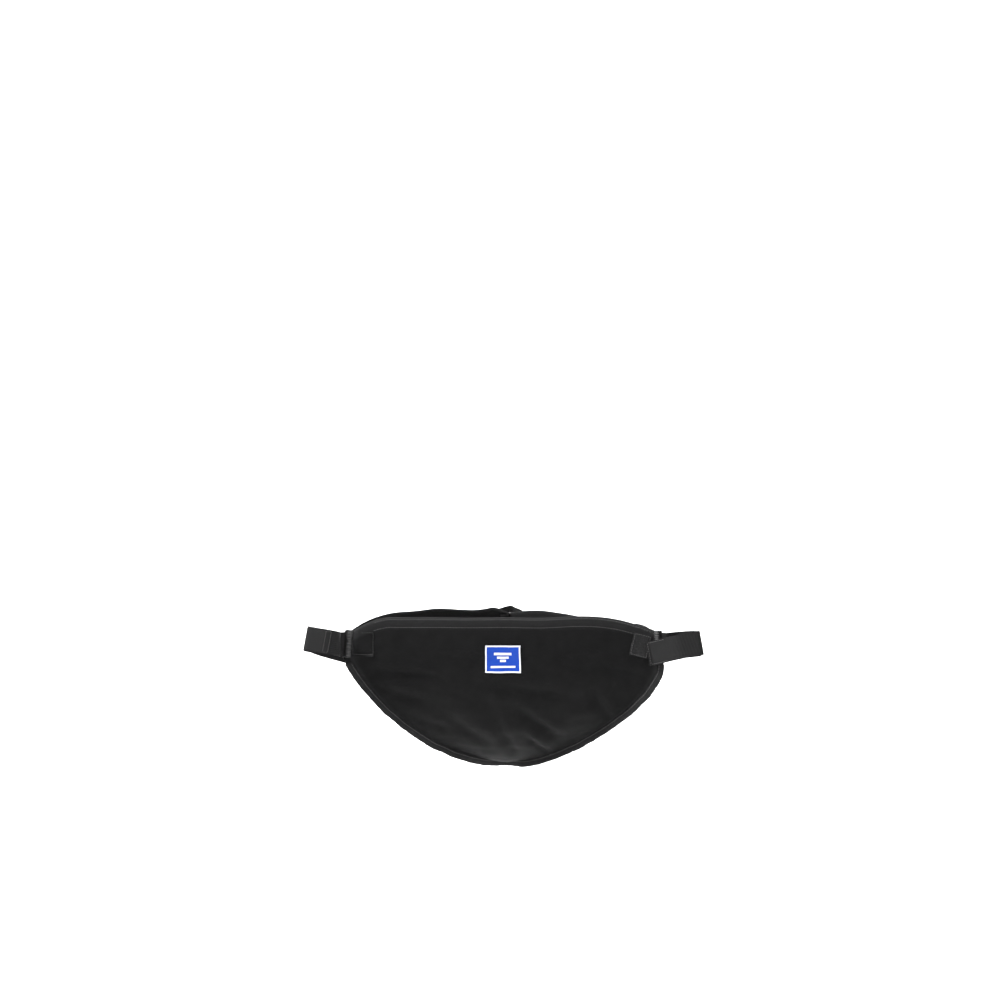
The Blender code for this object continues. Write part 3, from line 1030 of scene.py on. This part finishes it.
def label_places(panel, lift, cells=(72, 56)):
    """Rows of points on the panel over the label's rectangle, and their places on the label."""
    rows, flat = [], []
    for up in np.linspace(0.5, -0.5, cells[1] + 1):
        row, places = [], []
        for along in np.linspace(-0.5, 0.5, cells[0] + 1):
            x, height = along * LABEL_SIZE[0], up * LABEL_SIZE[1]
            at = LABEL_CENTRE[0] + x + height * LABEL_SHEAR, LABEL_CENTRE[1] + height
            row.append(panel.turn @ panel.on(*at, lift)[0])
            places.append((x, height))
        rows.append(row)
        flat.append(places)
    return rows, flat


def in_mark(x, height):
    """A plain mark: three bars that narrow downwards, over one long bar."""
    return any(abs(height - middle) < 1.25 * MM and abs(x) < half for middle, half in BARS)


def in_border(x, height):
    wide, tall = (size / 2 - LABEL_BORDER for size in LABEL_SIZE)
    return abs(x) > wide or abs(height) > tall


def label_pieces(panel, blue, white):
    """The blue cloth, and the white border and mark that are woven a little higher."""
    low, high = label_places(panel, 1.0 * MM), label_places(panel, 1.28 * MM)
    return (
        sheet("woven_label", *low, 0.4 * MM, blue),
        sheet("label_border", *high, 0.35 * MM, white, keep=in_border),
        sheet("label_mark", *high, 0.3 * MM, white, keep=in_mark),
    )


# Making the bag

# How far each rim hangs off its plain line, in mm, from its strap's end (-1) to its patch (1)
FRONT_RIM = ((-1, 0), (-0.7, -0.8), (0.2, -0.8), (0.75, 2), (1, 0))
REAR_RIGHT_RIM = ((-1, 0), (-0.88, -7), (-0.7, -11), (-0.4, -10), (0.1, -8.5), (0.75, -7), (1, 0))
REAR_LEFT_RIM = ((-1, 0), (-0.85, -5.5), (-0.6, -8), (-0.1, -1.5), (0.5, -0.5), (1, 0))
FRONT_FOLDS = (
    Fold((-137, -27), (-68, -36), 2.6, 5.5),
    Fold((-134, -43), (-88, -60), 2.6, 5.5),
    Fold((-60, -6), (-24, -22), 1.3, 8),
    Fold((-20, -42), (60, -54), 2.4, 7),
    Fold((60, -10), (98, -22), 1.4, 8),
    Fold((18, -70), (54, -100), 3.2, 5.5),
    Fold((24, -99), (44, -118), 2.8, 4),
    Fold((90, -46), (110, -82), 2.8, 6),
    Fold((-62, -72), (-18, -108), 2.4, 7),
    Fold((-8, -78), (8, -116), 2.2, 6),
    Fold((-96, -76), (-58, -92), 1.6, 5),
    Fold((-150, -14), (-118, -6), 1.0, 5),
    Fold((104, -22), (146, -32), 1.8, 6),
)


def chance_folds(seed, count=8):
    """Creases by chance, for the panels at the back."""
    dice = random.Random(seed)
    found = []
    for _ in range(count):
        x, z = dice.uniform(-120, 110), dice.uniform(-95, -20)
        x *= 1 - (-z / 150) ** 2
        angle = math.radians(dice.uniform(-60, 20))
        length = dice.uniform(28, 62)
        end = x + length * math.cos(angle), z + length * math.sin(angle) * 0.7
        found.append(Fold((x, z), end, dice.uniform(1.2, 2.4), dice.uniform(4.5, 7.5)))
    return tuple(found)


PANELS = (
    Panel("front", ("left", "right"), 0, 1, FRONT_FOLDS, FRONT_RIM),
    Panel("rear_right", ("right", "rear"), TURN / 3, 2, chance_folds(31), REAR_RIGHT_RIM),
    Panel("rear_left", ("rear", "left"), 2 * TURN / 3, 3, chance_folds(57), REAR_LEFT_RIM),
)

oxford, tape_finish, web_finish = oxford_cloth(), binding_tape(), strap_webbing()
hook_finish, pile_finish = hook_tape(), loop_pile()
# Pale grey thread for the hem, patch, seam and strap stitches.
cloth_thread = sewing_thread("pale_grey_thread", grey(0.03), grey(0.095))
tonal_thread = sewing_thread("black_thread", grey(0.008), grey(0.035))
heavy_thread = sewing_thread("overlock_thread", grey(0.025), grey(0.095))
blue_satin = woven_label("blue_satin", (0.002, 0.03, 0.28, 1), (0.005, 0.075, 0.52, 1))
white_satin = woven_label("white_satin", (0.62, 0.64, 0.72, 1), (0.92, 0.93, 0.97, 1))

for index, panel in enumerate(PANELS):
    corner, other, name = panel.strap_corner, panel.patch_corner, panel.name
    next_panel = PANELS[index - 1]
    cloth = finished(
        cloth_panel(panel, oxford), "oxford_cloth", "bag", f"panel_{name}", f"hem_{name}"
    )
    rows = [
        finished(hem_stitches(panel, cloth_thread), "oxford_cloth", "bag"),
        finished(anchor_stitches(panel, tonal_thread), "oxford_cloth", "bag"),
    ]
    finished(loop_patch(panel, pile_finish), "loop_pile", "bag", f"patch_{name}")
    finished(patch_stitches(panel, cloth_thread), "loop_pile", "bag")
    finished(seam_binding(panel, tape_finish), "binding_tape", "bag", f"seam_binding_{corner}")
    finished(seam_stitches(panel, cloth_thread), "binding_tape", "bag")
    for side, kind in ((1, "strap"), (-1, "patch")):
        node = f"end_binding_{kind}_{corner}"
        finished(end_tape(panel, side, tape_finish), "binding_tape", "bag", node)
        finished(overlock(panel, side, heavy_thread), "binding_tape", "bag")

    web = finished(
        strap(panel, web_finish), "strap_webbing", None, f"strap_tail_{corner}", f"strap_{corner}"
    )
    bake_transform(web)
    peel = panel.turn @ by_leg(FOLD_CENTRE + FOLD_RADIUS, 0, FOLD_DROP)
    sideways = panel.turn @ SIDE
    hook, join, tip = flap_pieces(panel, next_panel, hook_finish, cloth_thread)
    finished(hook, "hook_tape", None, f"hook_fold_{corner}", f"flap_{corner}")
    peel + sideways * 3 * MM
    peel - sideways * 3 * MM
    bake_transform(hook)
    finished(join, "hook_tape", f"{corner}_strap")
    finished(tip, "hook_tape", f"{corner}_flap")

for piece in label_pieces(PANELS[0], blue_satin, white_satin):
    nodes = ["label"] if piece.name == "woven_label" else []
    finished(piece, "label_cloth", "bag", *nodes)

# The studio


def studio():
    """A pale floor that bends up into a wall far behind the bag."""
    floor_level = -0.75
    bm = bmesh.new()
    bmesh.ops.create_grid(bm, x_segments=1, y_segments=40, size=1)
    for vert in bm.verts:
        along = (vert.co.y + 1) / 2 * 14 - 5
        bend = smooth(3.0, 6.5, along)
        vert.co = Vector((vert.co.x * 9, min(along, 5.5), floor_level + bend * max(0, along - 3.2)))
    mesh = bpy.data.meshes.new("floor")
    bm.to_mesh(mesh)
    bm.free()
    mesh.shade_smooth()
    floor = bpy.data.objects.new("floor", mesh)
    bpy.context.scene.collection.objects.link(floor)
    pale = Finish("pale_floor", 0.9, specular=0.1)
    pale.shader.inputs["Base Color"].default_value = (0.93, 0.93, 0.93, 1)
    mesh.materials.append(pale.material)
    floor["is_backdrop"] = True


def area_light(name, place, aim, size, power):
    light = bpy.data.lights.new(name, "AREA")
    light.shape, light.size, light.energy = "DISK", size, power
    lamp = bpy.data.objects.new(name, light)
    lamp.location = place
    lamp.rotation_euler = (Vector(aim) - Vector(place)).to_track_quat("-Z", "Y").to_euler()
    bpy.context.scene.collection.objects.link(lamp)


def lights():
    """A white surround, three lamps on the bag and one on the wall."""
    world = bpy.data.worlds.new("studio")
    world.use_nodes = True
    world.node_tree.nodes["Background"].inputs["Color"].default_value = (1, 1, 1, 1)
    world.node_tree.nodes["Background"].inputs["Strength"].default_value = 0.5
    bpy.context.scene.view_settings.view_transform = "Standard"
    bpy.context.scene.world = world
    area_light("key", (-1.8, -1.0, 1.7), (0, 0, 0), 0.8, 110)
    area_light("fill", (1.9, -1.7, 0.3), (0, 0, 0), 1.2, 20)
    area_light("back", (0.6, 1.5, 1.6), (0, 0, 0), 0.9, 60)
    area_light("backdrop", (0, 1.8, 2.6), (0, 5.4, 0.4), 2.5, 400)


def camera():
    """At the height from which the bag's rim is seen nearly level."""
    distance, azimuth, elevation = 2.7, math.radians(1.56), math.radians(4.5)
    made = bpy.data.objects.new("camera", bpy.data.cameras.new("camera"))
    made.data.sensor_width, made.data.lens = 36, 91.44
    flat = math.cos(elevation)
    place = Vector((math.sin(azimuth) * flat, -math.cos(azimuth) * flat, math.sin(elevation)))
    made.location = place * distance
    aim = (-place).to_track_quat("-Z", "Y").to_matrix()
    tip = Matrix.Rotation(math.radians(3.11436), 3, "X")
    swing = Matrix.Rotation(math.radians(0.12407), 3, "Y")
    made.rotation_euler = (aim @ swing @ tip).to_euler()
    bpy.context.scene.collection.objects.link(made)
    bpy.context.scene.camera = made


studio()
lights()
camera()

boxes = {"cad": CAD_BOX, "visual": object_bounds()}
{name: [list(corner) for corner in box] for name, box in boxes.items()}
